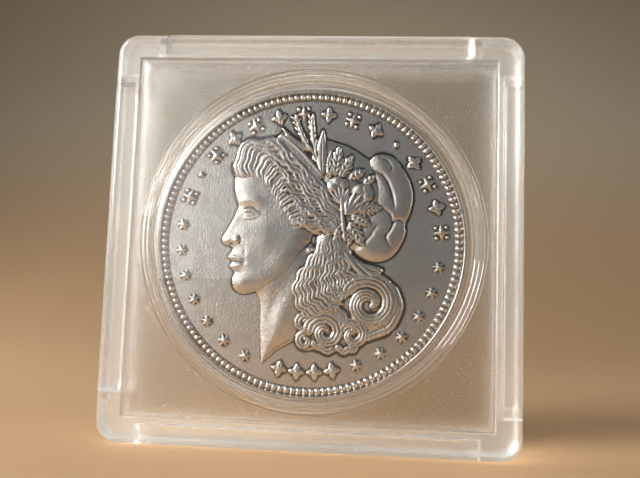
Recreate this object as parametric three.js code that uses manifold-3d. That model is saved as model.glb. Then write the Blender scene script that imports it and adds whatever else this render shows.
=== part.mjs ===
// Square snap-together coin capsule, standing on its lower edge.
//
// Two identical clear halves close round one large silver coin. Each half has a tab on two
// neighbouring sides and a notch on the other two, so that turning one half over about a diagonal
// brings its tabs to the other half's notches.
//
// Millimetres. +X is right and +Z is up as seen from the front, and the front faces -Y. The origin
// is under the middle of the capsule, on the surface that it stands on.

import * as THREE from 'three';
import { mergeVertices } from 'three/addons/utils/BufferGeometryUtils.js';
import Module from 'manifold-3d';

// The coin.
const coinDiameter = 38.1;
const coinThickness = 2.4;
const coinRimWidth = 1.45;
const coinFieldDepth = 0.1;
const coinRimRounding = 0.15;

// The well that holds it.
const wellClearance = 0.45;
const faceClearance = 0.175;
const coinRestGap = 0.05;
const coinRestAngle = THREE.MathUtils.degToRad(240);
const ringWall = 1.1;

// The clear round window in front of the coin, and the frosted panel around it.
const windowShoulder = 0.6;
const windowThickness = 1.2;
const windowRecess = 0.6;
const panelMargin = 0.9;
const panelThickness = 1.1;
const panelRecess = 1.0;

// The polished rim.
const rimWidth = 3.15;
const cornerRadius = 2.6;
const edgeFillet = 1.0;
const partingGap = 0.1;

// The tabs that hold the halves together, and the notches that they go into.
const tabLength = 39;
const tabProud = 0.15;
const tabCornerRadius = 1.2;
const notchEndClearance = 1;
const notchFloor = 1.2;
const railWall = 0.86;
const tabTipClearance = 0.12;
const tabInnerClearance = 0.25;
const beadClearance = 0.05;
const beadWidth = 0.7;
const beadFromTip = 0.65;
const beadEndInset = 6;
const grooveDepth = 0.15;

// How finely round shapes are divided.
const circleSides = 120;
const cornerSteps = 7;
const filletSteps = 4;

// Sizes that follow from those above. Depths are measured outwards from the parting plane.
const coinRadius = coinDiameter / 2;
const wellRadius = coinRadius + wellClearance;
const ringRadius = wellRadius + ringWall;
const windowRadius = ringRadius + windowShoulder;
const panelHalf = windowRadius + panelMargin;
const bodyHalf = panelHalf + rimWidth;
const outerHalf = bodyHalf + tabProud;

const seatDepth = coinThickness / 2 + faceClearance;
const windowDepth = seatDepth + windowThickness;
const halfThickness = windowDepth + windowRecess;
const panelOuterDepth = halfThickness - panelRecess;
const panelInnerDepth = panelOuterDepth - panelThickness;
const fillet = Math.min(edgeFillet, notchFloor - partingGap);

const partingDepth = partingGap / 2;
const notchInner = panelHalf + railWall;
const notchLength = tabLength + 2 * notchEndClearance;
const notchDepth = halfThickness - notchFloor;
const tabInner = notchInner + tabInnerClearance;
const tabReach = notchDepth - tabTipClearance;
const beadHeight = tabInnerClearance - beadClearance;
const beadDepth = tabReach - beadFromTip;
const beadLength = tabLength - 2 * beadEndInset;

// A cutter goes this far past the face that it opens, and a join this far into the solid.
const past = 2;
const into = 0.3;

const wasm = await Module();
wasm.setup();

function solid(geometry) {
  const bare = geometry.index ? geometry.toNonIndexed() : geometry.clone();
  bare.deleteAttribute('normal');
  bare.deleteAttribute('uv');
  const merged = mergeVertices(bare, 1e-5);
  return new wasm.Manifold(new wasm.Mesh({
    numProp: 3,
    vertProperties: new Float32Array(merged.attributes.position.array),
    triVerts: new Uint32Array(merged.index.array),
  }));
}

function geometryOf(manifold) {
  const mesh = manifold.getMesh();
  const geometry = new THREE.BufferGeometry();
  geometry.setAttribute('position', new THREE.BufferAttribute(mesh.vertProperties, 3));
  geometry.setIndex(new THREE.BufferAttribute(mesh.triVerts, 1));
  return geometry;
}

function roundedRectangle(x0, y0, x1, y1, radius) {
  const shape = new THREE.Shape();
  shape.absarc(x1 - radius, y1 - radius, radius, 0, Math.PI / 2);
  shape.absarc(x0 + radius, y1 - radius, radius, Math.PI / 2, Math.PI);
  shape.absarc(x0 + radius, y0 + radius, radius, Math.PI, 1.5 * Math.PI);
  shape.absarc(x1 - radius, y0 + radius, radius, 1.5 * Math.PI, 2 * Math.PI);
  return shape;
}

// A straight block between two depths.
function block(x0, y0, x1, y1, z0, z1) {
  const geometry = new THREE.BoxGeometry(x1 - x0, y1 - y0, z1 - z0);
  geometry.translate((x0 + x1) / 2, (y0 + y1) / 2, (z0 + z1) / 2);
  return solid(geometry);
}

// A round disc or ring about the depth axis.
function ring(innerRadius, outerRadius, z0, z1) {
  const profile = [[innerRadius, z0], [outerRadius, z0], [outerRadius, z1], [innerRadius, z1]];
  if (innerRadius > 0) {
    profile.push(profile[0]);
  }
  const points = profile.map(([r, z]) => new THREE.Vector2(r, z));
  const geometry = new THREE.LatheGeometry(points, circleSides);
  geometry.rotateX(Math.PI / 2);
  return solid(geometry);
}

// The outside of the closed capsule, with its front and back edges rounded.
function casing() {
  const geometry = new THREE.ExtrudeGeometry(
    roundedRectangle(-bodyHalf, -bodyHalf, bodyHalf, bodyHalf, cornerRadius),
    {
      depth: 2 * (halfThickness - fillet),
      curveSegments: cornerSteps,
      bevelSegments: filletSteps,
      bevelThickness: fillet,
      bevelSize: fillet,
      bevelOffset: -fillet,
    },
  );
  geometry.translate(0, 0, fillet - halfThickness);
  return solid(geometry);
}

// The four sides, as turns about the depth axis from the right-hand one.
const side = { right: 0, top: 1, left: 2, bottom: 3 };

function onSide(manifold, name) {
  return manifold.rotate([0, 0, 90 * side[name]]);
}

// The tab on the right-hand side. Its outer face stands proud of the rim as far as the fillet,
// and its corners are rounded.
function tab() {
  const geometry = new THREE.ExtrudeGeometry(
    roundedRectangle(
      -tabReach, -tabLength / 2, halfThickness - fillet, tabLength / 2, tabCornerRadius),
    { depth: outerHalf - tabInner, curveSegments: cornerSteps, bevelEnabled: false },
  );
  geometry.rotateY(-Math.PI / 2);
  geometry.translate(outerHalf, 0, 0);
  return solid(geometry).add(bead());
}

// A low three-sided ridge across the face of a tab or of a groove's cutter, along the side.
function ridge(length, height, width) {
  const shape = new THREE.Shape();
  shape.moveTo(into, -width / 2);
  shape.lineTo(into, width / 2);
  shape.lineTo(0, width / 2);
  shape.lineTo(-height, 0);
  shape.lineTo(0, -width / 2);
  const geometry = new THREE.ExtrudeGeometry(shape, { depth: length, bevelEnabled: false });
  geometry.translate(0, 0, -length / 2);
  geometry.rotateX(-Math.PI / 2);
  return geometry;
}

function bead() {
  const geometry = ridge(beadLength, beadHeight, beadWidth);
  geometry.translate(tabInner, 0, -beadDepth);
  return solid(geometry);
}

// What is cut from the right-hand side for the other half's tab. It is deep enough to cut the end
// of this half's own tab too, where the tabs are so long that they meet at the corner.
function notch() {
  const pocket = block(
    notchInner, -notchLength / 2, outerHalf + past, notchLength / 2, -tabReach - past, notchDepth);
  const groove = ridge(notchLength, grooveDepth, beadWidth);
  groove.translate(notchInner, 0, beadDepth);
  return pocket.add(solid(groove));
}

// One half, with its outer face towards +Z and its tabs on the left and the top.
function capsuleHalf() {
  let half = casing().intersect(block(
    -outerHalf, -outerHalf, outerHalf, outerHalf, partingDepth, halfThickness + past));
  half = half.subtract(block(
    -panelHalf, -panelHalf, panelHalf, panelHalf, panelOuterDepth, halfThickness + past));
  half = half.subtract(block(-panelHalf, -panelHalf, panelHalf, panelHalf, -past, panelInnerDepth));
  half = half.add(ring(0, windowRadius, panelOuterDepth - into, windowDepth));
  half = half.add(ring(wellRadius, ringRadius, partingDepth, panelOuterDepth - into));
  half = half.subtract(ring(0, wellRadius, -past, seatDepth));
  for (const name of ['left', 'top']) {
    half = half.add(onSide(tab(), name));
  }
  for (const name of ['right', 'bottom']) {
    half = half.subtract(onSide(notch(), name));
  }
  return geometryOf(half);
}

// The coin, lying across the Y axis, with a raised rim round each face.
function coin() {
  const face = coinThickness / 2;
  const field = face - coinFieldDepth;
  const rimInner = coinRadius - coinRimWidth;
  const profile = [
    [0, -field],
    [rimInner, -field],
    [rimInner + coinFieldDepth, -face],
    [coinRadius - coinRimRounding, -face],
    [coinRadius, -face + coinRimRounding],
    [coinRadius, face - coinRimRounding],
    [coinRadius - coinRimRounding, face],
    [rimInner + coinFieldDepth, face],
    [rimInner, field],
    [0, field],
  ];
  const points = profile.map(([r, y]) => new THREE.Vector2(r, y));
  return new THREE.LatheGeometry(points, circleSides);
}

function plastic() {
  return new THREE.MeshStandardMaterial({
    color: 0xe6e4de,
    roughness: 0.12,
    metalness: 0,
    transparent: true,
    opacity: 0.35,
  });
}

function silver() {
  return new THREE.MeshStandardMaterial({ color: 0xc9c6c0, roughness: 0.3, metalness: 1 });
}

function named(name, geometry, material) {
  const mesh = new THREE.Mesh(geometry, material);
  mesh.name = name;
  return mesh;
}

const capsule = new THREE.Group();
capsule.position.z = outerHalf;

const half = capsuleHalf();

const front = named('front_half', half, plastic());
front.rotation.x = Math.PI / 2;
capsule.add(front);

// The rear half is the front one turned over about the diagonal from lower left to upper right.
const turnedOver = new THREE.Group();
turnedOver.setRotationFromAxisAngle(new THREE.Vector3(1, 0, 1).normalize(), Math.PI);
const rear = named('rear_half', half.clone(), plastic());
rear.rotation.x = Math.PI / 2;
turnedOver.add(rear);
capsule.add(turnedOver);

const coinDrop = wellClearance - coinRestGap;
const disc = named('coin', coin(), silver());
disc.position.set(coinDrop * Math.cos(coinRestAngle), 0, coinDrop * Math.sin(coinRestAngle));
capsule.add(disc);

export default capsule;
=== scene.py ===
"""A square clear coin capsule with a large silver coin in it.

The two halves and the coin each get a fine mesh in place of their plain CAD solid. Sizes inside the
shape functions are in millimetres; every finished mesh is in metres, in the frame of the model.
"""

import math

import bmesh
import bpy
import numpy as np
from mathutils import Matrix, Vector

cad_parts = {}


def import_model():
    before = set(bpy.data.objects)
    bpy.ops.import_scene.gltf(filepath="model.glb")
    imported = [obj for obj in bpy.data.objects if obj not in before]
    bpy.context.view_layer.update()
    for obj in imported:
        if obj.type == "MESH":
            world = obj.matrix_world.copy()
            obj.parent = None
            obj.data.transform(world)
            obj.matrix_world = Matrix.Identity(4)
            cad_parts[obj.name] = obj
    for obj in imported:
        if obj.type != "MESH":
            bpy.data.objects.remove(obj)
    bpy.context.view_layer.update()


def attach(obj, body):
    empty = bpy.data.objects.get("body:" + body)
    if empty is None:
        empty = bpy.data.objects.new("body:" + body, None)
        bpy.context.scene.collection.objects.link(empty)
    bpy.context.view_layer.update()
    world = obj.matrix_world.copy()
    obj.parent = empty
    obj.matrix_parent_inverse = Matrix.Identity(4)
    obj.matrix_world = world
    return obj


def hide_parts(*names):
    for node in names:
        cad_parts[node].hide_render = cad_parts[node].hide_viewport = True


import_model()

MM = 0.001

# The capsule. Depths are measured outwards from the parting plane.
PANEL_HALF = 22.1
BODY_HALF = 25.25
OUTER_HALF = 25.4
CORNER_RADIUS = 2.6
EDGE_FILLET = 1.0
PARTING_DEPTH = 0.05
HALF_THICKNESS = 3.175
PANEL_OUTER_DEPTH = 2.175
PANEL_INNER_DEPTH = 1.075
WINDOW_DEPTH = 2.575
WINDOW_RADIUS = 21.2
WINDOW_EDGE_RADIUS = 0.38
WAVE_INNER = 19.3
WAVE_COUNT = 3
WAVE_STEPS = 14
WAVE_DEPTH = 0.12
SEAT_DEPTH = 1.375
WELL_RADIUS = 19.5
RING_RADIUS = 20.6
NOTCH_INNER = 22.96
NOTCH_LENGTH = 41.0
NOTCH_DEPTH = 1.975
TAB_LENGTH = 39.0
TAB_INNER = 23.21
TAB_REACH = 1.855
TAB_CORNER = 1.2
BEAD_HEIGHT = 0.2
BEAD_WIDTH = 0.7
BEAD_DEPTH = 1.205
BEAD_LENGTH = 27.0
GROOVE_DEPTH = 0.15

# The coin.
COIN_RADIUS = 19.05
COIN_HALF = 1.2
COIN_CENTRE = (-0.2, -0.3464)


# ---------------------------------------------------------------- mesh helpers

def new_object(name, mesh):
    item = bpy.data.objects.new(name, mesh)
    bpy.context.scene.collection.objects.link(item)
    return item


def mesh_of(name, points, faces):
    mesh = bpy.data.meshes.new(name)
    mesh.from_pydata([tuple(p) for p in points], [], faces)
    mesh.validate()
    return mesh


def stack(loops):
    """A closed solid through a stack of equal loops, capped at both ends."""
    count = len(loops[0])
    points = [p for loop in loops for p in loop]
    faces = [tuple(reversed(range(count)))]
    for k in range(len(loops) - 1):
        low, high = k * count, (k + 1) * count
        for i in range(count):
            j = (i + 1) % count
            faces.append((low + i, low + j, high + j, high + i))
    top = (len(loops) - 1) * count
    faces.append(tuple(range(top, top + count)))
    return mesh_of("stack", points, faces)


def rounded_square(half, corner, steps=12):
    """The outline of a square with rounded corners, counter-clockwise."""
    outline = []
    for quarter in range(4):
        middle = (quarter + 0.5) * math.pi / 2
        x = math.copysign(half - corner, math.cos(middle))
        y = math.copysign(half - corner, math.sin(middle))
        for k in range(steps + 1):
            angle = (quarter + k / steps) * math.pi / 2
            outline.append((x + corner * math.cos(angle), y + corner * math.sin(angle)))
    return outline


def casing(steps=12):
    """The outside of one half: straight sides, then a quarter-round edge to the face."""
    loops = []
    for z in (PARTING_DEPTH, HALF_THICKNESS - EDGE_FILLET):
        loops.append([(x, y, z) for x, y in rounded_square(BODY_HALF, CORNER_RADIUS)])
    for k in range(1, steps + 1):
        angle = k / steps * math.pi / 2
        inset = EDGE_FILLET * (1 - math.cos(angle))
        z = HALF_THICKNESS - EDGE_FILLET + EDGE_FILLET * math.sin(angle)
        outline = rounded_square(BODY_HALF - inset, CORNER_RADIUS - inset)
        loops.append([(x, y, z) for x, y in outline])
    return stack(loops)


def block(low, high):
    corners = [(low[0], low[1]), (high[0], low[1]), (high[0], high[1]), (low[0], high[1])]
    return stack([[(x, y, z) for x, y in corners] for z in (low[2], high[2])])


def disc(profile, sides=256):
    """A round solid about the depth axis, from radius and depth pairs going outwards."""
    turns = [2 * math.pi * k / sides for k in range(sides)]
    return stack([[(r * math.cos(a), r * math.sin(a), z) for a in turns] for r, z in profile])


def window_disc(steps=6):
    """The round window: its outer edge softly rounded, and low turned waves inside it."""
    radius = WINDOW_EDGE_RADIUS
    profile = [(WINDOW_RADIUS, SEAT_DEPTH), (WINDOW_RADIUS, WINDOW_DEPTH - radius)]
    for k in range(1, steps + 1):
        angle = k / steps * math.pi / 2
        profile.append((WINDOW_RADIUS - radius * (1 - math.cos(angle)),
                        WINDOW_DEPTH - radius + radius * math.sin(angle)))
    start = WINDOW_RADIUS - radius
    for k in range(1, WAVE_COUNT * WAVE_STEPS + 1):
        share = k / (WAVE_COUNT * WAVE_STEPS)
        dip = WAVE_DEPTH * (0.5 - 0.5 * math.cos(2 * math.pi * WAVE_COUNT * share))
        profile.append((start + share * (WAVE_INNER - start), WINDOW_DEPTH - dip))
    return disc(profile)


def ring_wall():
    """The wall round the well, as a solid disc: the well is cut out of it afterwards."""
    return disc([(RING_RADIUS, PARTING_DEPTH), (RING_RADIUS, PANEL_OUTER_DEPTH - 0.3)])


def across(outline, x0, x1):
    """A solid drawn in the plane of a side (along it, and depth) and pushed out in x."""
    loops = [[(x, y, z) for y, z in outline] for x in (x0, x1)]
    return stack(loops)


def tab(steps=8):
    """The tab on the right-hand side, without its bead."""
    y, r = TAB_LENGTH / 2, TAB_CORNER
    low, high = -TAB_REACH, HALF_THICKNESS - EDGE_FILLET
    outline = []
    for quarter, (cy, cz) in enumerate([(y - r, high - r), (r - y, high - r),
                                        (r - y, low + r), (y - r, low + r)]):
        for k in range(steps + 1):
            angle = (quarter + k / steps) * math.pi / 2
            outline.append((cy + r * math.cos(angle), cz + r * math.sin(angle)))
    return across(outline, TAB_INNER, OUTER_HALF)


def ridge(x, depth, length, height):
    """A low ridge that runs along a side and points inwards."""
    half, into = BEAD_WIDTH / 2, 0.3
    outline = [(x + into, depth - half), (x + into, depth + half), (x, depth + half),
               (x - height, depth), (x, depth - half)]
    loops = [[(px, y, pz) for px, pz in outline] for y in (length / 2, -length / 2)]
    return stack(loops)


def turned_to_side(mesh, quarter):
    mesh.transform(Matrix.Rotation(quarter * math.pi / 2, 4, "Z"))
    return mesh


def carve(mesh, steps):
    """Joins and cuts other solids, in order, and gives the finished mesh."""
    target = new_object("carving", mesh)
    helpers = []
    for operation, cutter in steps:
        helper = new_object("helper", cutter)
        helpers.append(helper)
        modifier = target.modifiers.new(operation, "BOOLEAN")
        modifier.operation = operation
        modifier.solver = "MANIFOLD"
        modifier.object = helper
    finished = applied(target)
    for item in helpers + [target]:
        bpy.data.objects.remove(item)
    return finished


def applied(item):
    depsgraph = bpy.context.evaluated_depsgraph_get()
    depsgraph.update()
    return bpy.data.meshes.new_from_object(item.evaluated_get(depsgraph))


def softened(mesh, width, segments=2):
    """Rounds every sharp edge a little, as moulding and polishing do."""
    shape = bmesh.new()
    shape.from_mesh(mesh)
    bmesh.ops.remove_doubles(shape, verts=shape.verts, dist=0.002)
    bmesh.ops.dissolve_limit(shape, angle_limit=math.radians(0.3), verts=shape.verts,
                             edges=shape.edges, use_dissolve_boundaries=False)
    for face in shape.faces:
        face.smooth = True
    shape.to_mesh(mesh)
    shape.free()
    item = new_object("softening", mesh)
    bevel = item.modifiers.new("edges", "BEVEL")
    bevel.width = width
    bevel.segments = segments
    bevel.limit_method = "ANGLE"
    bevel.angle_limit = math.radians(28)
    bevel.harden_normals = True
    bevel.use_clamp_overlap = True
    bevel.miter_outer = "MITER_ARC"
    finished = applied(item)
    bpy.data.objects.remove(item)
    return finished


# ---------------------------------------------------------------- the capsule

def half_mesh():
    """One half in its own frame: x right, y up, z outwards."""
    far = OUTER_HALF + 2
    steps = [
        ("DIFFERENCE", block((-PANEL_HALF, -PANEL_HALF, PANEL_OUTER_DEPTH),
                             (PANEL_HALF, PANEL_HALF, far))),
        ("DIFFERENCE", block((-PANEL_HALF, -PANEL_HALF, -far),
                             (PANEL_HALF, PANEL_HALF, PANEL_INNER_DEPTH))),
        ("UNION", window_disc()),
        ("UNION", ring_wall()),
        ("DIFFERENCE", disc([(WELL_RADIUS, -2.0), (WELL_RADIUS, SEAT_DEPTH)])),
    ]
    bead = ridge(TAB_INNER, -BEAD_DEPTH, BEAD_LENGTH, BEAD_HEIGHT)
    for quarter in (1, 2):
        steps.append(("UNION", turned_to_side(tab(), quarter)))
        steps.append(("UNION", turned_to_side(bead.copy(), quarter)))
    y = NOTCH_LENGTH / 2
    pocket = block((NOTCH_INNER, -y, -4.0), (far, y, NOTCH_DEPTH))
    groove = ridge(NOTCH_INNER, BEAD_DEPTH, NOTCH_LENGTH, GROOVE_DEPTH)
    for quarter in (0, 3):
        steps.append(("DIFFERENCE", turned_to_side(pocket.copy(), quarter)))
        steps.append(("DIFFERENCE", turned_to_side(groove.copy(), quarter)))
    return carve(casing(), steps)


POLISHED, TEXTURED, SATIN = 0, 1, 2


def mark_finishes(mesh):
    """The window and inner faces are polished, the panel textured, the rim and ring satin."""
    for face in mesh.polygons:
        corners = [mesh.vertices[k].co for k in face.vertices]
        inmost = min(max(abs(c.x), abs(c.y)) for c in corners)
        off_panel = max(abs(c.z - PANEL_OUTER_DEPTH) for c in corners)
        reach = [math.hypot(c.x, c.y) for c in corners]
        on_wall = min(reach) > WELL_RADIUS - 0.1 and max(reach) < RING_RADIUS + 0.1
        if inmost > PANEL_HALF - 0.01 or (on_wall and corners[0].z < PANEL_INNER_DEPTH + 0.1):
            face.material_index = SATIN
        elif off_panel < 0.01:
            face.material_index = TEXTURED
        else:
            face.material_index = POLISHED


def capsule_half(name, body, node, turn, materials):
    mesh = half_shape.copy()
    mesh.materials.clear()
    for material in materials:
        mesh.materials.append(material)
    mark_finishes(mesh)
    lift = Matrix.Translation((0, 0, OUTER_HALF * MM))
    upright = Matrix.Rotation(math.pi / 2, 4, "X")
    mesh.transform(lift @ turn @ upright @ Matrix.Scale(MM, 4))
    item = new_object(name, mesh)
    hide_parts(node)
    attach(item, body)
    return item


# ---------------------------------------------------------------- materials

class Nodes:
    """Short calls for building a node tree."""

    def __init__(self, material):
        material.use_nodes = True
        self.tree = material.node_tree
        self.tree.nodes.clear()

    def add(self, kind, inputs=None, **settings):
        node = self.tree.nodes.new(kind)
        for key, value in settings.items():
            setattr(node, key, value)
        for key, value in (inputs or {}).items():
            socket = node.inputs[key]
            if isinstance(value, bpy.types.NodeSocket):
                self.tree.links.new(value, socket)
            else:
                socket.default_value = value
        return node

    def finish(self, shader):
        output = self.add("ShaderNodeOutputMaterial")
        self.tree.links.new(shader, output.inputs["Surface"])


def let_lamps_through(nodes, glass):
    """Clear plastic that casts only a slight shadow."""
    clear = nodes.add("ShaderNodeBsdfTransparent", {"Color": (0.93, 0.93, 0.92, 1)})
    rays = nodes.add("ShaderNodeLightPath")
    return nodes.add("ShaderNodeMixShader", {
        0: rays.outputs["Is Shadow Ray"],
        1: glass.outputs[0],
        2: clear.outputs[0],
    }).outputs[0]


PLASTIC_TINT = (0.985, 0.978, 0.96, 1)
PLASTIC_IOR = 1.59


def polished_plastic():
    """Clear moulded polystyrene with very faint waviness."""
    material = bpy.data.materials.new("polished_polystyrene")
    nodes = Nodes(material)
    place = nodes.add("ShaderNodeTexCoord").outputs["Object"]
    waves = nodes.add("ShaderNodeTexNoise", {"Vector": place, "Scale": 90.0, "Detail": 2.0})
    bump = nodes.add("ShaderNodeBump", {
        "Strength": 0.06, "Distance": 0.0004, "Height": waves.outputs["Fac"]})
    glass = nodes.add("ShaderNodeBsdfPrincipled", {
        "Base Color": PLASTIC_TINT,
        "Roughness": 0.03,
        "IOR": PLASTIC_IOR,
        "Transmission Weight": 1.0,
        "Normal": bump.outputs["Normal"],
    })
    nodes.finish(let_lamps_through(nodes, glass))
    return material


def textured_plastic():
    """The same plastic where the mould was finely textured."""
    material = bpy.data.materials.new("textured_polystyrene")
    nodes = Nodes(material)
    place = nodes.add("ShaderNodeTexCoord").outputs["Object"]
    grain = nodes.add("ShaderNodeTexNoise", {"Vector": place, "Scale": 5600.0, "Detail": 2.0})
    bump = nodes.add("ShaderNodeBump", {
        "Strength": 1.0, "Distance": 0.00013, "Height": grain.outputs["Fac"]})
    specks = nodes.add("ShaderNodeValToRGB", {"Fac": grain.outputs["Fac"]})
    specks.color_ramp.elements[0].position = 0.35
    specks.color_ramp.elements[0].color = (0.62, 0.60, 0.56, 1)
    specks.color_ramp.elements[1].position = 0.62
    specks.color_ramp.elements[1].color = (0.99, 0.975, 0.945, 1)
    glass = nodes.add("ShaderNodeBsdfPrincipled", {
        "Base Color": specks.outputs["Color"],
        "Roughness": 0.14,
        "IOR": PLASTIC_IOR,
        "Transmission Weight": 1.0,
        "Normal": bump.outputs["Normal"],
    })
    nodes.finish(let_lamps_through(nodes, glass))
    return material


def satin_plastic():
    """The same plastic on the rim, with a soft satin finish."""
    material = bpy.data.materials.new("satin_polystyrene")
    nodes = Nodes(material)
    place = nodes.add("ShaderNodeTexCoord").outputs["Object"]
    grain = nodes.add("ShaderNodeTexNoise", {"Vector": place, "Scale": 2600.0, "Detail": 3.0})
    bump = nodes.add("ShaderNodeBump", {
        "Strength": 0.5, "Distance": 0.00006, "Height": grain.outputs["Fac"]})
    glass = nodes.add("ShaderNodeBsdfPrincipled", {
        "Base Color": PLASTIC_TINT,
        "Roughness": 0.17,
        "IOR": PLASTIC_IOR,
        "Transmission Weight": 0.93,
        "Normal": bump.outputs["Normal"],
    })
    nodes.finish(let_lamps_through(nodes, glass))
    return material


def struck_silver():
    """Bright struck silver with painted shade that darkens it in the recesses, with fine grain and
    hairlines.
    """
    material = bpy.data.materials.new("struck_silver")
    nodes = Nodes(material)
    place = nodes.add("ShaderNodeTexCoord").outputs["Object"]
    painted_shade = nodes.add("ShaderNodeAttribute", attribute_name="painted_shade").outputs["Fac"]
    cloud = nodes.add("ShaderNodeTexNoise", {"Vector": place, "Scale": 650.0, "Detail": 6.0,
                                             "Roughness": 0.65}).outputs["Fac"]
    grain = nodes.add("ShaderNodeTexNoise", {"Vector": place, "Scale": 3600.0, "Detail": 3.0,
                                             "Roughness": 0.6}).outputs["Fac"]
    stretch = nodes.add("ShaderNodeMapping", {"Vector": place, "Scale": (7500.0, 900.0, 260.0),
                                              "Rotation": (0.0, 0.12, 0.0)})
    lines = nodes.add("ShaderNodeTexNoise", {"Vector": stretch.outputs[0], "Scale": 1.0,
                                             "Detail": 3.0}).outputs["Fac"]
    # Painted shade: the silver's colour goes down to near black where the mask marks recesses and
    # grooves.
    shaded_silver = nodes.add("ShaderNodeValToRGB", {"Fac": painted_shade})
    ramp = shaded_silver.color_ramp
    ramp.elements[0].position, ramp.elements[0].color = 0.34, (0.90, 0.875, 0.84, 1)
    ramp.elements[1].position, ramp.elements[1].color = 0.88, (0.10, 0.09, 0.08, 1)
    mottle = nodes.add("ShaderNodeMapRange", {"Value": cloud, "From Min": 0.30, "From Max": 0.70,
                                              "To Min": 0.70, "To Max": 1.0})
    colour = nodes.add("ShaderNodeVectorMath", {0: shaded_silver.outputs["Color"],
                                                1: mottle.outputs["Result"]},
                       operation="MULTIPLY")
    shine = nodes.add("ShaderNodeMapRange", {"Value": cloud, "From Min": 0.3, "From Max": 0.7,
                                             "To Min": 0.27, "To Max": 0.15})
    fine = nodes.add("ShaderNodeMath", {0: lines, 1: 0.10}, operation="MULTIPLY")
    surface = nodes.add("ShaderNodeMath", {0: grain, 1: fine.outputs[0]}, operation="ADD")
    bump = nodes.add("ShaderNodeBump", {
        "Strength": 0.7, "Distance": 0.00003, "Height": surface.outputs[0]})
    silver = nodes.add("ShaderNodeBsdfPrincipled", {
        "Base Color": colour.outputs[0],
        "Metallic": 1.0,
        "Roughness": shine.outputs["Result"],
        "Normal": bump.outputs["Normal"],
    })
    nodes.finish(silver.outputs[0])
    return material


# ---------------------------------------------------------------- tools for the coin's relief

FIELD_LEVEL = -0.42
RIM_INNER = 18.6
DENTICLES = 150
DENTICLE_RADIUS = 18.05
LETTER_RADIUS = 16.0
STAR_RADIUS = 15.9


def smooth(low, high, value):
    """0 at low, 1 at high, with an S-curve between."""
    t = np.clip((value - low) / (high - low), 0, 1)
    return t * t * (3 - 2 * t)


def curve(points, per_span=8):
    """A smooth line through points. A point given twice running makes a corner."""
    p = np.array(points, float)
    p = np.vstack([2 * p[0] - p[1], p, 2 * p[-1] - p[-2]])
    line = []
    t = np.arange(per_span)[:, None] / per_span
    for a, b, c, d in zip(p, p[1:], p[2:], p[3:]):
        if np.allclose(b, c):
            continue
        line.append(0.5 * (2 * b + (c - a) * t + (2 * a - 5 * b + 4 * c - d) * t**2
                           + (3 * b - a - 3 * c + d) * t**3))
    line.append(p[-2:-1])
    return np.vstack(line)


def outline(points, per_span=8):
    """A smooth closed outline through points."""
    p = list(points)
    line = curve(p[-2:] + p + p[:2], per_span)
    return line[2 * per_span:-2 * per_span] if not _corners(p) else _closed(p, per_span)


def _corners(points):
    return any(a == b for a, b in zip(points, points[1:]))


def _closed(points, per_span):
    return curve(list(points) + [points[0]], per_span)


def near(spots, line, reach):
    """The numbers of the spots within a box round a line."""
    low, high = line.min(0) - reach, line.max(0) + reach
    return np.nonzero(((spots > low) & (spots < high)).all(1))[0]


def to_line(spots, line):
    """How far each spot is from a line, on which side, and how far along, from 0 to 1."""
    gap = np.full(len(spots), np.inf)
    side = np.ones(len(spots))
    along = np.zeros(len(spots))
    steps = np.diff(line, axis=0)
    lengths = np.hypot(*steps.T)
    total, passed = lengths.sum(), 0.0
    for start, step, length in zip(line, steps, lengths):
        if length < 1e-9:
            continue
        away = spots - start
        t = np.clip(away @ step / length**2, 0, 1)
        rest = away - t[:, None] * step
        distance = np.hypot(*rest.T)
        closer = distance < gap
        gap[closer] = distance[closer]
        side[closer] = np.sign(step[0] * away[closer, 1] - step[1] * away[closer, 0])
        along[closer] = (passed + t[closer] * length) / total
        passed += length
    return gap, side, along


def depth_inside(spots, line):
    """How far inside a closed outline each spot is: negative outside."""
    ends = np.roll(line, -1, axis=0)
    crossings = np.zeros(len(spots), int)
    for (x0, y0), (x1, y1) in zip(line, ends):
        if y0 == y1:
            continue
        between = (y0 > spots[:, 1]) != (y1 > spots[:, 1])
        x = x0 + (spots[:, 1] - y0) / (y1 - y0) * (x1 - x0)
        crossings += between & (spots[:, 0] < x)
    gap = to_line(spots, np.vstack([line, line[:1]]))[0]
    return np.where(crossings % 2 == 1, gap, -gap)


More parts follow.
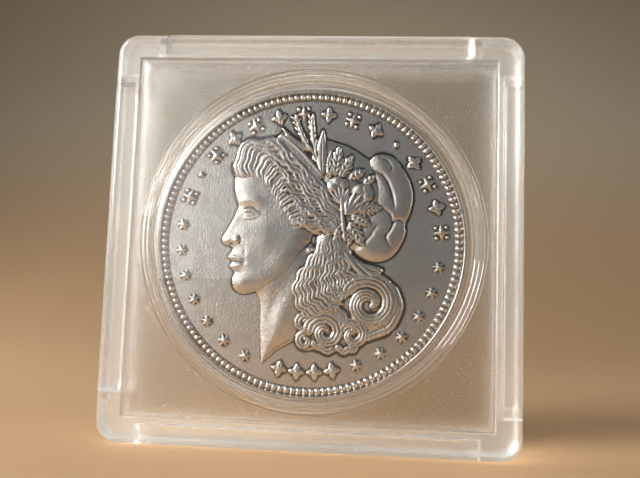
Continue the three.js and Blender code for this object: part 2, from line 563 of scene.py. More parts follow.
class Relief:
    """The heights of one coin face above its field, in millimetres."""

    def __init__(self, spots):
        self.spots = spots
        self.height = np.zeros(len(spots))

    def raise_to(self, index, value):
        self.height[index] = np.maximum(self.height[index], value)

    def mound(self, line, height, width, base=0.0):
        """A flat-topped swelling inside an outline, rounded over a width at its edge."""
        index = near(self.spots, line, 0.01)
        depth = depth_inside(self.spots[index], line)
        t = np.clip(depth / width, 0, 1)
        value = base + (height - base) * np.sqrt(1 - (1 - t) ** 2)
        self.raise_to(index[depth > 0], value[depth > 0])

    def bump(self, centre, size, amount, angle=0.0):
        """Adds a soft hill, or a hollow where the amount is negative."""
        away = self.spots - np.array(centre)
        turn = math.radians(angle)
        u = away[:, 0] * math.cos(turn) + away[:, 1] * math.sin(turn)
        v = -away[:, 0] * math.sin(turn) + away[:, 1] * math.cos(turn)
        spread = (u / size[0]) ** 2 + (v / size[1]) ** 2
        self.height += amount * np.exp(-spread) * (self.height > 0)

    def stroke(self, points, width, amount, taper=0.3):
        """Adds a soft ridge along a line, or a groove where the amount is negative."""
        line = curve(points)
        index = near(self.spots, line, 2.5 * width)
        gap, _, along = to_line(self.spots[index], line)
        ends = np.clip(np.minimum(along, 1 - along) / taper, 0, 1) if taper else 1.0
        raised = self.height[index] > 0
        self.height[index] += amount * np.exp(-(gap / width) ** 2) * np.sqrt(ends) * raised

    def lock(self, points, half_width, strands, level, height=0.10, groove=0.07,
             ends=(0.12, 0.25), shrink=0.0, wave=0.0, waves=0.0, phase=0.0):
        """A lock of hair: a rounded band of parallel strands that narrows to its ends."""
        line = curve(points, 14)
        if wave:
            line = wavy(line, wave, waves, phase)
        index = near(self.spots, line, half_width)
        gap, side, along = to_line(self.spots[index], line)
        narrow = (np.clip(along / ends[0], 0.0, 1) ** 0.6
                  * np.clip((1 - along) / ends[1], 0.0, 1) ** 0.6)
        width = half_width * np.maximum(narrow, 0.02) * (1 - shrink * along)
        across = side * gap / width
        inside = np.abs(across) < 1
        across = across[inside]
        crown = np.sqrt(1 - across**2)
        share = ((across + 1) / 2 * strands) % 1.0
        strand = np.sqrt(np.clip(1 - (2 * share - 1) ** 2, 0, 1))
        fade = 0.35 + 0.65 * narrow[inside]
        value = level + height * crown * fade - groove * (1 - strand) * fade
        self.raise_to(index[inside], value)

    def leaf(self, start, end, half_width, level, height=0.05, bend=0.0, teeth=0, vein=0.03,
             ribs=0):
        """A pointed leaf with a middle vein, and with teeth and side veins if it has them."""
        start, end = np.array(start, float), np.array(end, float)
        middle = (start + end) / 2 + bend * np.array([start[1] - end[1], end[0] - start[0]])
        line = curve([start, middle, end])
        index = near(self.spots, line, half_width * 1.3)
        gap, _, along = to_line(self.spots[index], line)
        width = half_width * np.sin(math.pi * np.clip(along, 0, 1) ** 0.8) ** 0.8
        if teeth:
            width = width * (0.72 + 0.42 * ((along * teeth) % 1.0))
        inside = (gap < width) & (along > 0) & (along < 1)
        across = gap[inside] / width[inside]
        value = level + height * (1 - across**2) - vein * np.exp(-(gap[inside] / 0.07) ** 2)
        if ribs:
            share = (along[inside] - 0.25 * across) * ribs
            value -= 0.03 * np.cos(2 * math.pi * share)
        self.raise_to(index[inside], value)

    def ball(self, centre, radius, level, height):
        away = self.spots - np.array(centre)
        r = np.hypot(*away.T) / radius
        inside = r < 1
        self.raise_to(inside, level + height * np.sqrt(1 - r[inside] ** 2))

    def star(self, centre, size, height, turn=0.0, points=6, waist=0.5):
        """A pointed star with a ridge to each point."""
        away = self.spots - np.array(centre)
        r = np.hypot(*away.T)
        sector = 2 * math.pi / points
        angle = np.abs((np.arctan2(away[:, 1], away[:, 0]) - turn + sector / 2) % sector
                       - sector / 2)
        tip = np.array([size, 0.0])
        inner = waist * size * np.array([math.cos(sector / 2), math.sin(sector / 2)])
        normal = np.array([inner[1] - tip[1], tip[0] - inner[0]])
        edge = tip @ normal / (np.cos(angle) * normal[0] + np.sin(angle) * normal[1])
        ratio = r / edge
        inside = ratio < 1
        self.raise_to(inside, height * (1 - ratio[inside]) ** 0.8)


def wavy(line, size, count, phase):
    """The line with a sideways wave laid on it."""
    steps = np.gradient(line, axis=0)
    normal = np.stack([-steps[:, 1], steps[:, 0]], 1)
    normal /= np.hypot(*normal.T)[:, None]
    along = np.concatenate([[0], np.cumsum(np.hypot(*np.diff(line, axis=0).T))])
    along /= along[-1]
    swing = size * np.sin(2 * math.pi * (count * along + phase)) * smooth(0, 0.15, along)
    return line + normal * swing[:, None]


def polar(radius, degrees):
    angle = math.radians(degrees)
    return np.array([radius * math.cos(angle), radius * math.sin(angle)])


# ---------------------------------------------------------------- the head

def head_face(relief):
    """A calm generic profile on textbook proportions, facing left."""
    neck = outline([
        (-6.9, -5.4), (-6.1, -6.9), (-5.75, -8.2), (-5.7, -10.5), (-5.55, -12.8),
        (-5.4, -14.9), (-5.4, -14.9), (-3.6, -13.2), (-1.9, -12.2), (0.2, -10.8), (2.6, -7.5),
        (1.6, -2.0), (-1.5, 0.5), (-4.5, -1.0), (-6.9, -5.4)])
    relief.mound(neck, 0.20, 2.6)
    relief.stroke([(-0.6, -3.6), (-2.4, -7.6), (-4.3, -12.0)], 1.0, 0.045)
    relief.stroke([(-3.6, -6.0), (-4.6, -9.0), (-5.0, -12.0)], 0.7, -0.03)
    face = outline([
        (-7.6, 10.2), (-9.0, 9.0), (-9.5, 7.4), (-9.45, 6.0), (-9.15, 4.9), (-8.95, 4.0),
        (-9.5, 2.6), (-10.35, 1.0), (-10.85, 0.0), (-10.5, -0.62), (-9.65, -0.85),
        (-9.55, -1.45), (-9.95, -2.15), (-9.45, -2.75), (-9.7, -3.3), (-9.15, -4.1),
        (-9.35, -5.0), (-9.1, -6.0), (-8.2, -6.6), (-6.6, -6.3), (-4.6, -5.5), (-2.4, -3.9),
        (-0.9, -1.7), (0.2, 1.0), (0.2, 5.0), (-2.0, 9.5), (-5.0, 10.8)])
    relief.mound(face, 0.29, 2.4, base=0.05)
    face_forms(relief)
    eye(relief)
    nose_and_mouth(relief)
    ear(relief)


def face_forms(relief):
    """Brow, cheek, temple and jaw."""
    relief.bump((-8.2, 6.6), (1.4, 1.6), 0.02)
    relief.bump((-7.7, 3.1), (1.35, 0.95), -0.10)
    relief.bump((-5.2, 4.3), (1.3, 1.6), -0.03)
    relief.bump((-5.9, 0.3), (1.7, 1.5), 0.045)
    relief.bump((-6.0, -2.6), (1.3, 1.2), -0.03)
    relief.bump((-3.0, -1.6), (1.8, 1.8), 0.03)
    relief.stroke([(-8.0, -6.0), (-5.6, -5.4), (-2.6, -3.4), (-1.2, -1.2)], 0.8, 0.025)
    relief.stroke([(-9.0, 4.55), (-8.2, 4.95), (-6.9, 4.95), (-5.9, 4.4)], 0.42, 0.055)


def eye(relief):
    """An open eye between two lids, looking ahead."""
    relief.bump((-7.75, 3.25), (0.75, 0.5), 0.075)
    relief.stroke([(-8.45, 3.2), (-8.15, 3.62), (-7.5, 3.78), (-6.8, 3.5), (-6.35, 3.1)],
                  0.13, 0.065, taper=0.2)
    relief.stroke([(-8.4, 3.75), (-7.6, 4.12), (-6.7, 3.8)], 0.12, -0.045)
    relief.stroke([(-8.4, 3.02), (-7.9, 2.74), (-7.1, 2.8), (-6.5, 3.05)], 0.11, 0.045)
    relief.stroke([(-8.35, 3.42), (-7.9, 3.46), (-7.2, 3.40)], 0.07, -0.03)
    relief.bump((-8.0, 3.22), (0.17, 0.2), 0.02)
    relief.bump((-8.0, 3.22), (0.07, 0.08), -0.04)


def nose_and_mouth(relief):
    relief.stroke([(-9.0, 4.0), (-9.55, 2.4), (-10.35, 0.6)], 0.42, 0.05)
    relief.bump((-10.2, -0.05), (0.5, 0.45), 0.04)
    relief.bump((-9.15, -0.1), (0.42, 0.38), 0.085)
    relief.stroke([(-8.85, 0.6), (-8.6, 0.0), (-8.75, -0.55)], 0.14, -0.07)
    relief.bump((-9.75, -0.5), (0.26, 0.14), -0.07)
    relief.stroke([(-8.5, -0.2), (-8.1, -1.1), (-8.0, -2.0)], 0.25, -0.02)
    relief.stroke([(-9.9, -2.15), (-9.3, -2.15), (-8.7, -2.35), (-8.3, -2.68)], 0.26, 0.06)
    relief.stroke([(-9.65, -3.22), (-9.2, -3.2), (-8.7, -3.02), (-8.3, -2.74)], 0.28, 0.06)
    relief.stroke([(-9.75, -2.72), (-9.2, -2.66), (-8.6, -2.74), (-8.2, -2.70)], 0.10, -0.08,
                  taper=0.15)
    relief.bump((-8.1, -2.7), (0.25, 0.25), -0.04)
    relief.stroke([(-9.3, -4.0), (-8.7, -3.95), (-8.2, -4.2)], 0.25, -0.035)
    relief.bump((-8.6, -5.1), (0.85, 0.8), 0.05)


def ear(relief):
    """The lower part of the ear, under the hair."""
    relief.stroke([(1.0, 0.6), (1.15, -0.1), (0.7, -0.75), (0.2, -0.95)], 0.22, 0.12, taper=0.1)
    relief.stroke([(0.2, 0.6), (0.35, -0.1), (0.15, -0.5)], 0.18, 0.08, taper=0.1)
    relief.bump((0.05, -1.0), (0.35, 0.35), 0.08)


def blend_points(low, high, share):
    low, high = np.array(low, float), np.array(high, float)
    return low * (1 - share) + high * share


HAIR_GUIDES = [
    [(-8.7, 7.7), (-9.35, 9.2), (-9.1, 10.9), (-7.3, 12.15), (-5.0, 12.3), (-2.6, 10.2),
     (0.2, 7.5), (2.4, 5.2), (3.7, 3.2)],
    [(-7.0, 7.9), (-7.7, 9.3), (-7.2, 10.7), (-5.9, 11.2), (-4.2, 10.6), (-2.0, 8.9),
     (0.3, 6.6), (2.4, 4.5), (3.8, 2.4)],
    [(-5.5, 7.0), (-5.7, 8.1), (-5.0, 9.0), (-4.0, 9.0), (-2.8, 8.3), (-1.0, 6.9),
     (0.8, 5.3), (2.5, 3.7), (3.9, 1.9)],
    [(-4.2, 5.0), (-4.0, 5.9), (-3.2, 6.4), (-2.3, 6.1), (-1.3, 5.5), (-0.1, 4.6),
     (1.2, 3.8), (2.7, 2.8), (4.0, 1.4)],
    [(-2.8, 3.0), (-2.3, 3.5), (-1.6, 3.6), (-0.8, 3.3), (0.0, 3.0), (0.9, 2.7),
     (1.9, 2.4), (3.0, 1.9), (4.1, 0.9)],
    [(-2.1, 1.6), (-1.5, 1.8), (-0.8, 1.75), (0.0, 1.65), (0.7, 1.55), (1.4, 1.45),
     (2.2, 1.35), (3.1, 1.1), (4.2, 0.5)],
]


def guided(guides, share):
    """The line that lies a share of the way from the first guide to the last."""
    guides = np.array(guides, float)
    place = share * (len(guides) - 1)
    knots = [curve(guides[:, k], 16) for k in range(guides.shape[1])]
    return [tuple(knot[int(round(place * 16))]) for knot in knots]


def front_hair(relief, random):
    """Wavy hair brushed up from the forehead, then back and down over the ear."""
    mass = outline([
        (-8.4, 7.5), (-9.5, 7.9), (-9.65, 9.3), (-9.3, 10.9), (-7.5, 12.4), (-5.6, 12.7),
        (-4.0, 12.3), (-1.4, 9.7), (0.9, 7.3), (2.6, 4.6), (4.3, 1.2), (3.0, 0.8), (-0.2, 1.1),
        (-2.1, 1.5), (-3.5, 3.9), (-5.1, 6.0), (-6.2, 7.4)])
    relief.mound(mass, 0.25, 1.2, base=0.10)
    count = 17
    for k in random.permutation(count):
        share = (k + 0.5 + 0.3 * (random.random() - 0.5)) / count
        relief.lock(guided(HAIR_GUIDES, share), (0.62 - 0.24 * share) * random.uniform(0.9, 1.15),
                    2 + (k % 3 == 0), 0.225 + 0.06 * random.random(), height=0.09, groove=0.13,
                    ends=(0.04, 0.08), wave=(0.30 - 0.17 * share) * random.uniform(0.9, 1.1),
                    waves=(5.6 - 2.4 * share), phase=0.5 * share + 0.05 * random.random())
    for k in range(6):
        share = (k + random.random()) / 6
        line = curve(guided(HAIR_GUIDES, share))
        start = int(random.uniform(0.08, 0.55) * len(line))
        stray = line[start:start + int(0.38 * len(line)):6]
        relief.lock([tuple(p) for p in stray], 0.20, 1, 0.30, height=0.09, groove=0.0,
                    ends=(0.3, 0.4), wave=0.12, waves=2.5, phase=random.random())


def falling_hair(relief, random):
    """Wavy locks that fall behind the neck and end in curls."""
    mass = outline([
        (1.2, 0.9), (0.7, -1.6), (-0.7, -3.6), (-1.8, -5.6), (-1.7, -7.0), (-1.1, -8.0),
        (-1.3, -9.2), (-1.3, -10.8), (-1.4, -12.2), (-0.6, -13.1), (1.5, -13.0), (4.6, -13.0),
        (6.4, -12.5), (7.4, -11.4), (9.2, -10.9), (10.8, -9.4), (11.2, -6.8), (9.9, -4.4),
        (7.6, -3.8), (6.0, -3.0), (4.8, -1.0), (4.4, 0.9)])
    relief.mound(mass, 0.17, 0.9, base=0.05)
    guides = [
        [(1.7, 1.0), (1.2, -0.8), (-0.2, -2.9), (-1.4, -4.9), (-1.4, -6.6), (-0.7, -8.1),
         (0.9, -8.9), (2.6, -8.7)],
        [(2.5, 1.0), (2.4, -0.9), (1.3, -2.9), (0.4, -4.6), (0.5, -6.2), (1.4, -7.4),
         (2.8, -7.8), (4.2, -7.6)],
        [(3.3, 1.0), (3.4, -1.0), (2.8, -2.7), (2.4, -4.2), (2.7, -5.6), (3.6, -6.4),
         (4.6, -6.0), (5.4, -5.2)],
        [(4.2, 1.0), (4.4, -1.2), (4.5, -2.4), (4.7, -3.4), (5.4, -4.1), (6.5, -4.3),
         (7.7, -4.2), (8.9, -4.6)],
    ]
    curl(relief, (-0.3, -9.9), 1.0, 0.15, 100, 400, 0.50, 2, 0.19)
    curl(relief, (-0.2, -12.0), 0.95, 0.15, 80, 420, 0.48, 2, 0.20)
    curl(relief, (5.6, -11.1), 1.75, 0.15, 170, -480, 0.72, 3, 0.20)
    curl(relief, (2.3, -10.9), 2.15, 0.15, 190, -530, 0.85, 3, 0.215)
    curl(relief, (7.4, -7.3), 3.35, 0.2, 165, -600, 1.08, 4, 0.225)
    relief.lock([(9.6, -4.6), (10.75, -6.8), (10.4, -9.1), (8.9, -10.5), (6.9, -11.2), (5.4, -12.2)],
                0.62, 3, 0.185, height=0.10, groove=0.12, ends=(0.10, 0.20), wave=0.06, waves=4.0)
    relief.lock([(9.9, -6.6), (9.7, -8.4), (8.4, -9.7), (6.6, -10.3)],
                0.50, 2, 0.20, height=0.10, groove=0.12, ends=(0.12, 0.25), wave=0.05, waves=3.0)
    for start, middle, end in (((2.6, -7.9), (4.2, -9.2), (6.4, -10.7)),
                               ((3.0, -7.0), (3.9, -8.3), (5.2, -9.6)),
                               ((3.2, -8.9), (4.4, -9.5), (5.3, -9.7)),
                               ((-0.9, -7.2), (-0.6, -8.4), (0.6, -9.2)),
                               ((0.6, -11.9), (1.9, -12.9), (3.8, -12.9)),
                               ((3.4, -12.6), (4.6, -12.95), (6.2, -12.6))):
        relief.lock([start, middle, end], 0.42, 2, 0.21, height=0.10, groove=0.12,
                    ends=(0.12, 0.2), wave=0.12, waves=2.2, phase=random.random())
    count = 11
    for k in random.permutation(count):
        share = (k + 0.3 * (random.random() - 0.5)) / (count - 1)
        relief.lock(guided(guides, min(max(share, 0), 1)), 0.44 * random.uniform(0.85, 1.15), 2,
                    0.215 + 0.06 * random.random(), height=0.09, groove=0.12,
                    ends=(0.06, 0.16), wave=0.20 * random.uniform(0.7, 1.2), waves=6.5,
                    phase=0.45 * share + 0.15 * random.random())


def curl(relief, centre, outer, inner, start, sweep, half_width, strands, level):
    """A lock wound into a spiral, from its outer radius to its inner one."""
    count = max(8, int(abs(sweep) / 30))
    points = []
    for k in range(count + 1):
        t = k / count
        points.append(np.array(centre) + polar(outer + (inner - outer) * t, start + sweep * t))
    relief.lock(points, half_width, strands, level, height=0.11, groove=0.12,
                ends=(0.06, 0.06), shrink=0.35, wave=0.02, waves=abs(sweep) / 55)


def cap(relief):
    """A soft cap whose back lobe hangs over, drawn in by a ribbon below."""
    crown = outline([
        (0.2, 12.4), (1.9, 12.6), (4.5, 11.8), (6.9, 10.3), (8.2, 9.2), (9.4, 6.0), (9.0, 2.0),
        (7.2, -0.6), (4.6, -0.6), (3.4, 1.4), (2.2, 4.5), (0.8, 7.6), (-0.2, 9.6)])
    relief.mound(crown, 0.29, 2.2, base=0.06)
    lobe = outline([
        (7.0, 9.6), (7.6, 10.7), (8.6, 11.0), (9.9, 10.6), (10.9, 9.5), (12.0, 7.6), (12.35, 5.6),
        (12.0, 3.8), (11.5, 2.4), (11.5, 1.2), (10.9, -0.3), (9.9, -1.6), (8.4, -2.2),
        (6.6, -1.8), (5.4, -0.6), (5.6, 2.0), (7.2, 4.2), (7.6, 7.0)])
    relief.mound(lobe, 0.34, 2.0, base=0.10)
    relief.stroke([(7.2, 9.2), (8.8, 8.2), (9.7, 6.4), (10.2, 4.2)], 0.26, -0.075)
    relief.stroke([(8.2, 10.6), (9.2, 10.2), (9.7, 9.3), (9.2, 8.9)], 0.24, -0.06)
    relief.stroke([(8.2, 4.6), (9.6, 3.6), (9.9, 2.2), (9.2, 0.8), (9.9, -0.6)], 0.26, -0.07)
    relief.stroke([(11.6, 2.6), (10.6, 2.9), (9.9, 2.4)], 0.22, -0.07)
    relief.stroke([(10.8, 8.4), (11.2, 6.4), (11.0, 4.6)], 0.5, 0.03)
    relief.stroke([(5.6, -0.8), (7.0, 0.6), (8.3, 2.6)], 0.30, -0.05)


def ribbon(relief):
    """The bow and end of the ribbon that ties the hair under the cap."""
    bow = outline([(4.3, -0.6), (5.4, -1.6), (6.6, -2.4), (7.9, -2.7), (8.9, -3.1), (8.5, -3.9),
                   (7.6, -4.6), (6.6, -4.4), (5.2, -3.0), (4.2, -1.7)])
    relief.mound(bow, 0.33, 0.6, base=0.16)
    relief.stroke([(4.7, -1.3), (6.2, -3.0), (7.4, -4.0)], 0.16, -0.06)
    relief.stroke([(6.4, -2.7), (7.6, -3.3), (8.4, -3.4)], 0.14, -0.05)


def band(relief):
    """The plain hair band, with a ridged border along each side."""
    strip = outline([
        (-4.9, 12.6), (-4.9, 12.6), (-2.2, 10.1), (0.5, 7.2), (0.5, 7.2), (1.6, 8.1),
        (1.6, 8.1), (-1.0, 11.1), (-3.9, 13.5), (-3.9, 13.5)])
    relief.mound(strip, 0.33, 0.35, base=0.18)
    relief.stroke([(-4.6, 12.6), (-2.0, 10.1), (0.6, 7.4)], 0.11, 0.05, taper=0.05)
    relief.stroke([(-3.8, 13.2), (-1.1, 10.9), (1.3, 8.2)], 0.11, 0.05, taper=0.05)
    for k in range(6):
        centre = blend_points((-3.6, 12.4), (0.5, 8.3), k / 5)
        relief.star(centre, 0.42, 0.40, turn=math.radians(-48), points=4, waist=0.45)


def wheat(relief, base, tip, bend=0.0):
    """An ear of wheat: a stalk with grains on both sides and beards at the top."""
    base, tip = np.array(base, float), np.array(tip, float)
    step = tip - base
    normal = np.array([-step[1], step[0]]) / np.hypot(*step)
    line = curve([base, (base + tip) / 2 + normal * bend, tip])
    relief.lock([line[0], line[len(line) // 2], line[-1]], 0.16, 1, 0.30, groove=0.0)
    for k in range(5):
        t = 0.30 + 0.15 * k
        root = base + step * t + normal * bend * math.sin(math.pi * t)
        for side in (-1, 1):
            end = root + step * 0.20 + side * normal * 0.34
            relief.leaf(root, end, 0.17, 0.31, vein=0.0)


def sprigs(relief):
    """The wheat, leaves and cotton bolls tucked into the cap."""
    relief.leaf((-0.15, 11.3), (-3.9, 14.1), 0.42, 0.30, bend=0.10)
    relief.leaf((1.3, 8.2), (1.2, 14.0), 0.62, 0.31, bend=0.03)
    relief.leaf((1.9, 8.4), (2.3, 11.6), 0.30, 0.32)
    wheat(relief, (0.2, 10.8), (-2.3, 15.4), 0.25)
    wheat(relief, (0.5, 10.4), (-0.3, 15.5), 0.12)
    for start, end, half_width, teeth in (
            ((2.8, 8.2), (3.3, 12.0), 0.80, 5), ((3.4, 8.0), (5.0, 10.9), 0.75, 5),
            ((4.6, 8.0), (6.6, 9.0), 0.62, 4), ((2.3, 8.0), (1.9, 10.6), 0.45, 3),
            ((5.6, 4.2), (8.7, 4.4), 0.85, 6), ((5.0, 3.4), (7.4, 2.2), 0.80, 5),
            ((4.8, 2.6), (6.6, -0.4), 0.80, 5), ((4.6, 1.9), (4.9, -0.3), 0.55, 4),
            ((4.0, 2.4), (2.9, 0.2), 0.45, 4), ((6.4, 7.2), (7.8, 8.4), 0.50, 3)):
        relief.leaf(start, end, half_width, 0.325 + 0.003 * teeth, height=0.06, teeth=teeth,
                    vein=0.05, ribs=teeth)
    relief.lock([(3.75, 5.5), (3.85, 3.6), (4.05, 2.0), (4.3, 0.2)], 0.19, 1, 0.35, groove=0.0,
                ends=(0.02, 0.05))
    boll(relief, np.array((3.3, 6.9)), 1.35, np.array((3.85, 4.7)))
    boll(relief, np.array((6.3, 6.1)), 1.35, np.array((4.2, 3.4)))


def boll(relief, centre, size, root):
    """A cotton boll: a soft round head on a fan of narrow bracts."""
    away = centre - root
    heading = math.degrees(math.atan2(away[1], away[0]))
    reach = math.hypot(*away)
    relief.ball(centre, size, 0.28, 0.09)
    for turn in (-75, 0, 75):
        lobe = centre + polar(0.46 * size, heading + turn)
        relief.ball(lobe, 0.50 * size, 0.31, 0.11)
    for k in range(5):
        spread = heading + (k - 2) * 16
        tip = root + polar(reach * (1.10 - 0.07 * abs(k - 2)), spread)
        relief.leaf(root, tip, 0.23, 0.365, height=0.04, vein=0.0)


def truncation(relief):
    relief.stroke([(-5.2, -14.3), (-3.6, -12.9), (-1.9, -11.9)], 0.10, -0.04, taper=0.1)


# ---------------------------------------------------------------- the rest of both faces

def rosette(relief, centre, degrees):
    """Four pointed petals round a bead."""
    for k in range(4):
        tip = centre + polar(1.0, degrees + 90 * k)
        relief.leaf(centre, tip, 0.34, 0.11, height=0.05, vein=0.05)
    relief.ball(centre, 0.30, 0.08, 0.10)


def lozenge(relief, centre, degrees):
    """A faceted lozenge with a bead on each side."""
    relief.star(centre, 1.05, 0.20, turn=math.radians(degrees), points=4, waist=0.50)
    for side in (-1, 1):
        for end in (-1, 1):
            spot = centre + polar(0.62 * end, degrees) + polar(0.62 * side, degrees + 90)
            relief.ball(spot, 0.20, 0.03, 0.11)


def border(relief):
    """Fine teeth inside the rim."""
    r = np.hypot(*relief.spots.T)
    turn = np.arctan2(relief.spots[:, 1], relief.spots[:, 0]) / (2 * math.pi) * DENTICLES
    across = (turn % 1.0 - 0.5) / 0.43
    along = (r - DENTICLE_RADIUS) / 0.42
    inside = across**2 + np.abs(along) ** 2.6
    relief.height = np.maximum(relief.height, 0.30 * np.sqrt(np.clip(1 - inside, 0, 1)))


def dished(relief):
    """The field, and its slight rise towards the rim."""
    r = np.hypot(*relief.spots.T)
    return 0.10 * (r / RIM_INNER) ** 4 * (r < 17.6) + 0.10 * (r >= 17.6)


def rim_level(r):
    """The height of the rim over the coin's face, from its inner slope to its outer rounding."""
    slope = smooth(RIM_INNER - 0.12, RIM_INNER + 0.05, r)
    rounding = np.clip((r - (COIN_RADIUS - 0.15)) / 0.15, 0, 1)
    return slope, -0.15 * (1 - np.sqrt(1 - rounding**2))


def obverse(spots):
    relief = Relief(spots)
    random = np.random.default_rng(7)
    head_face(relief)
    truncation(relief)
    falling_hair(relief, random)
    cap(relief)
    front_hair(relief, random)
    ribbon(relief)
    band(relief)
    sprigs(relief)
    for k in range(7):
        centre = polar(STAR_RADIUS, 173.8 + 11.4 * k)
        relief.star(centre, 0.85, 0.17, turn=math.radians(173.8 + 11.4 * k))
    for k in range(6):
        centre = polar(STAR_RADIUS, -9.5 - 11.6 * k)
        relief.star(centre, 0.85, 0.17, turn=math.radians(-9.5 - 11.6 * k))
    for k in range(15):
        degrees = 161.0 - 11.1 * k
        if k in (1, 10):
            relief.ball(polar(LETTER_RADIUS, degrees), 0.32, 0.0, 0.13)
        else:
            motif = rosette if k % 2 else lozenge
            motif(relief, polar(LETTER_RADIUS, degrees), degrees)
    for k in range(4):
        degrees = -90 + (k - 1.5) * 7.8
        rosette(relief, polar(15.75, degrees), degrees)
    border(relief)
    return relief.height


def reverse(spots):
    """A plain wreath round a many-pointed star."""
    relief = Relief(spots)
    for side in (-1, 1):
        stem = [polar(11.3, -90 + side * turn) for turn in range(4, 160, 12)]
        relief.lock(stem, 0.22, 1, 0.16, groove=0.0, ends=(0.02, 0.02))
        for k in range(12):
            turn = -90 + side * (9 + 12.2 * k)
            for lean, size in ((-1.75, 0.62), (1.85, 0.70)):
                start = polar(11.3, turn)
                end = polar(11.3 + lean, turn + side * 12.0)
                relief.leaf(start, end, size, 0.18, height=0.07, vein=0.05,
                            bend=0.10 * side * np.sign(lean))
            if k % 3 == 1:
                relief.ball(polar(13.2, turn + 2 * side), 0.36, 0.06, 0.16)
    relief.star((0, 0), 6.4, 0.34, turn=math.pi / 2, points=8, waist=0.46)
    relief.star((0, 0), 3.2, 0.36, turn=math.pi / 2 + math.pi / 8, points=8, waist=0.60)
    relief.ball((0, 0), 0.9, 0.20, 0.18)
    for k in range(32):
        centre = polar(LETTER_RADIUS, 11.25 * k)
        if k % 4 == 0:
            relief.star(centre, 0.85, 0.17, turn=math.radians(11.25 * k))
        else:
            rosette(relief, centre, 11.25 * k)
    border(relief)
    return relief.height


# ---------------------------------------------------------------- the coin's mesh

FACE_CELLS = {"obverse": 340, "reverse": 200}
FINE_FROM = 17.4
FINE_SHARE = 0.18
REEDS = 170
REED_DEPTH = 0.09
EDGE_STEPS = 6


def disc_grid(cells):
    """A square grid bent into a disc the size of the coin, finer towards the rim."""
    s = np.linspace(-1, 1, cells + 1)
    a, b = np.meshgrid(s, s, indexing="xy")
    wide = np.abs(a) > np.abs(b)
    loop = np.where(wide, a, b)
    ratio = np.divide(np.where(wide, b, a), loop, out=np.zeros_like(loop), where=loop != 0)
    angle = np.where(wide, ratio * math.pi / 4, math.pi / 2 - ratio * math.pi / 4)
    share = np.abs(loop)
    radius = np.where(
        share < 1 - FINE_SHARE, share / (1 - FINE_SHARE) * FINE_FROM,
        FINE_FROM + (share - 1 + FINE_SHARE) / FINE_SHARE * (COIN_RADIUS - FINE_FROM))
    radius = np.sign(loop) * radius
    return radius * np.cos(angle), radius * np.sin(angle)


def face_depths(design, x, y):
    """How far each point of a face lies out from the coin's middle."""
    spots = np.stack([x.ravel(), y.ravel()], 1)
    relief = design(spots)
    r = np.hypot(*spots.T)
    slope, rim = rim_level(r)
    level = FIELD_LEVEL + relief + dished(Relief(spots))
    level = np.minimum(level, 0.0) * (1 - slope) + rim * slope
    return (COIN_HALF + level).reshape(x.shape)


def loop_of(cells):
    """The numbers of a grid's outermost points, counter-clockwise."""
    side = cells + 1
    low = [k for k in range(cells)]
    right = [k * side + cells for k in range(cells)]
    top = [cells * side + k for k in range(cells, 0, -1)]
    left = [k * side for k in range(cells, 0, -1)]
    return low + right + top + left


def painted_shade_mask(depth, reach):
    """How far each grid point lies below the points round it, from 0 to 1, as the mask for painted
    shade in the recesses.
    """
    mean = depth.copy()
    for _ in range(reach):
        wide = np.pad(mean, 1, mode="edge")
        mean = (wide[:-2, 1:-1] + wide[2:, 1:-1] + wide[1:-1, :-2] + wide[1:-1, 2:]) / 4
    return np.clip((mean - depth) / 0.042 + 0.3, 0, 1)


def coin_mesh():
    """The struck coin: obverse to the front, reverse to the back, and a reeded edge."""
    points, faces, painted_shade_marks, outer = [], [], [], []
    first = 0
    for name, design, facing in (("obverse", obverse, -1), ("reverse", reverse, 1)):
        cells = FACE_CELLS[name]
        x, y = disc_grid(cells)
        depth = face_depths(design, x, y)
        toothed = np.hypot(x, y) > FINE_FROM
        # Painted shade: recesses of the relief get a darkening mask, held lower among the rim's
        # teeth.
        painted_shade_mark = painted_shade_mask(depth, cells // 62)
        painted_shade_marks.append(np.where(toothed, np.minimum(painted_shade_mark, 0.72), painted_shade_mark).ravel())
        points.append(np.stack([-facing * x.ravel(), facing * depth.ravel(), y.ravel()], 1))
        k = np.arange(cells * (cells + 1)).reshape(cells, cells + 1)[:, :-1].ravel() + first
        quads = np.stack([k, k + 1, k + cells + 2, k + cells + 1], 1)
        faces.append(quads)
        outer.append(np.array(loop_of(cells)) + first)
        first += (cells + 1) ** 2
    front, back = outer
    turns = np.arctan2(points[0][front][:, 2], points[0][front][:, 0])
    reed = REED_DEPTH * (0.5 - 0.5 * np.cos(turns * REEDS))
    loops = [front]
    for k in range(EDGE_STEPS + 1):
        y = (-1 + 2 * k / EDGE_STEPS) * (COIN_HALF - 0.19)
        r = COIN_RADIUS - reed
        points.append(np.stack([r * np.cos(turns), np.full_like(r, y), r * np.sin(turns)], 1))
        # Painted shade: the edge's reed grooves are darkened in proportion to their depth.
        painted_shade_marks.append(reed / REED_DEPTH * 0.7)
        loops.append(np.arange(len(front)) + first)
        first += len(front)
    for low, high in zip(loops, loops[1:]):
        faces.append(np.stack([low, high, np.roll(high, -1), np.roll(low, -1)], 1))
    points = np.vstack(points)
    strip = joined_loops(points, loops[-1], back)
    mesh = bpy.data.meshes.new("coin")
    quads = np.vstack(faces)
    all_faces = [tuple(int(v) for v in quad) for quad in quads] + strip
    mesh.from_pydata(points.tolist(), [], all_faces)
    mesh.validate()
    # The painted shade mask goes to the silver as a point attribute.
    painted_shade_mark = mesh.attributes.new("painted_shade", "FLOAT", "POINT")
    painted_shade_mark.data.foreach_set("value", np.concatenate(painted_shade_marks))
    shape = bmesh.new()
    shape.from_mesh(mesh)
    bmesh.ops.recalc_face_normals(shape, faces=shape.faces)
    shape.to_mesh(mesh)
    shape.free()
    for face in mesh.polygons:
        face.use_smooth = True
    return mesh


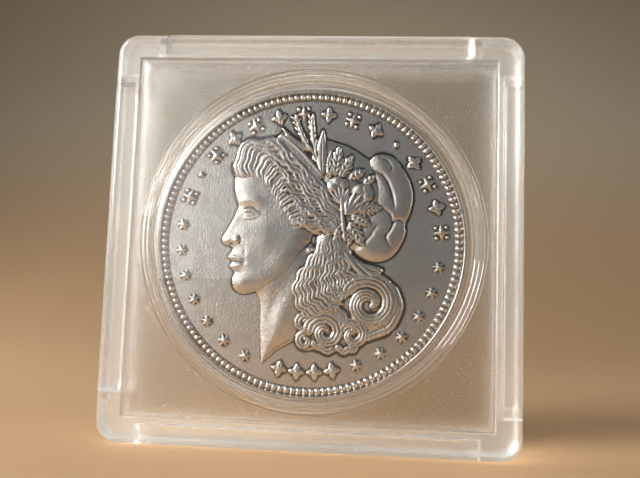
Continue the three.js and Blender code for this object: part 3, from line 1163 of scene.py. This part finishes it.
def joined_loops(points, first, second):
    """Triangles between two loops about the coin's axis that differ in their count."""
    def ordered(loop):
        angle = np.arctan2(points[loop][:, 2], points[loop][:, 0]) % (2 * math.pi)
        order = np.argsort(angle)
        return loop[order], angle[order]

    (a, turn_a), (b, turn_b) = ordered(first), ordered(second)
    triangles, i, j = [], 0, 0
    while i < len(a) or j < len(b):
        next_a = turn_a[(i + 1) % len(a)] + (2 * math.pi if i + 1 >= len(a) else 0)
        next_b = turn_b[(j + 1) % len(b)] + (2 * math.pi if j + 1 >= len(b) else 0)
        if j >= len(b) or (i < len(a) and next_a <= next_b):
            triangles.append((int(a[i % len(a)]), int(a[(i + 1) % len(a)]), int(b[j % len(b)])))
            i += 1
        else:
            triangles.append((int(a[i % len(a)]), int(b[(j + 1) % len(b)]), int(b[j % len(b)])))
            j += 1
    return triangles


def coin(material):
    mesh = coin_mesh()
    mesh.materials.append(material)
    x, z = COIN_CENTRE
    mesh.transform(Matrix.Scale(MM, 4) @ Matrix.Translation((x, 0, OUTER_HALF + z)))
    item = new_object("struck_coin", mesh)
    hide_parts("coin")
    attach(item, "coin")
    return item



# ---------------------------------------------------------------- stage, lights, camera

def backdrop():
    """A pale floor that curves up into a plain backdrop."""
    start, radius, top = 0.12, 0.55, 1.8
    profile = [(-1.6, 0.0), (-0.5, 0.0), (start, 0.0)]
    for k in range(1, 25):
        angle = k / 24 * math.pi / 2
        profile.append((start + radius * math.sin(angle), radius * (1 - math.cos(angle))))
    profile.append((start + radius, top))
    points, faces = [], []
    for x in (-2.0, 2.0):
        points += [(x, y, z) for y, z in profile]
    count = len(profile)
    for k in range(count - 1):
        faces.append((k, count + k, count + k + 1, k + 1))
    mesh = mesh_of("backdrop", points, faces)
    for face in mesh.polygons:
        face.use_smooth = True
    item = new_object("backdrop", mesh)
    material = bpy.data.materials.new("backdrop")
    nodes = Nodes(material)
    place = nodes.add("ShaderNodeTexCoord").outputs["Object"]
    split = nodes.add("ShaderNodeSeparateXYZ", {"Vector": place})
    height = nodes.add("ShaderNodeMapRange", {
        "Value": split.outputs["Z"], "From Min": 0.0, "From Max": 0.22,
        "To Min": 0.0, "To Max": 1.0}, interpolation_type="SMOOTHSTEP")
    ramp = nodes.add("ShaderNodeValToRGB", {"Fac": height.outputs["Result"]})
    ramp.color_ramp.elements[0].color = (0.45, 0.28, 0.145, 1)
    ramp.color_ramp.elements[1].color = (0.50, 0.42, 0.30, 1)
    paper = nodes.add("ShaderNodeBsdfPrincipled", {
        "Base Color": ramp.outputs["Color"], "Roughness": 0.85})
    nodes.finish(paper.outputs[0])
    item.data.materials.append(material)


def lamp(name, position, target, size, power, colour=(1, 1, 1)):
    data = bpy.data.lights.new(name, "AREA")
    data.shape = "RECTANGLE"
    data.size, data.size_y = size
    data.energy = power
    data.color = colour
    item = new_object(name, data)
    item.location = position
    aim = Vector(target) - Vector(position)
    item.rotation_euler = aim.to_track_quat("-Z", "Y").to_euler()


def camera():
    data = bpy.data.cameras.new("camera")
    data.sensor_width = 36.0
    data.lens = 33.75
    data.clip_start = 0.005
    item = new_object("camera", data)
    turn = (Matrix.Rotation(math.radians(94.8), 4, "X")
            @ Matrix.Rotation(math.radians(3.8), 4, "Y")
            @ Matrix.Rotation(math.radians(1.6), 4, "Z"))
    item.matrix_world = Matrix.Translation((0.0059, -0.0745, 0.0193)) @ turn
    bpy.context.scene.camera = item


def world():
    data = bpy.data.worlds.new("studio")
    bpy.context.scene.world = data
    data.use_nodes = True
    data.node_tree.nodes["Background"].inputs["Color"].default_value = (0.82, 0.87, 0.95, 1)
    data.node_tree.nodes["Background"].inputs["Strength"].default_value = 0.14


# ---------------------------------------------------------------- assembly

half_shape = softened(half_mesh(), 0.05)
finishes = [polished_plastic(), textured_plastic(), satin_plastic()]
over_diagonal = Matrix.Rotation(math.pi, 4, Vector((1, 0, 1)).normalized())
capsule_half("front_shell", "front_half", "front_half", Matrix.Identity(4), finishes)
capsule_half("rear_shell", "rear_half", "rear_half", over_diagonal, finishes)

coin(struck_silver())

backdrop()
world()
target = (0.0, 0.0, 0.025)
lamp("front_left", (-0.38, -0.55, 0.10), target, (0.55, 0.45), 1.05, (1.0, 0.98, 0.95))
lamp("left_side", (-0.30, -0.16, 0.19), target, (0.11, 0.22), 2.1, (1.0, 0.98, 0.95))
lamp("right_side", (0.34, -0.12, 0.10), target, (0.06, 0.35), 0.30, (1.0, 0.95, 0.88))
lamp("back_left", (-0.34, 0.06, 0.12), target, (0.10, 0.20), 0.25, (1.0, 0.97, 0.93))
lamp("overhead", (0.10, 0.25, 0.60), target, (0.5, 0.4), 0.8, (1.0, 0.97, 0.93))
camera()
bpy.context.scene.view_settings.view_transform = "Standard"
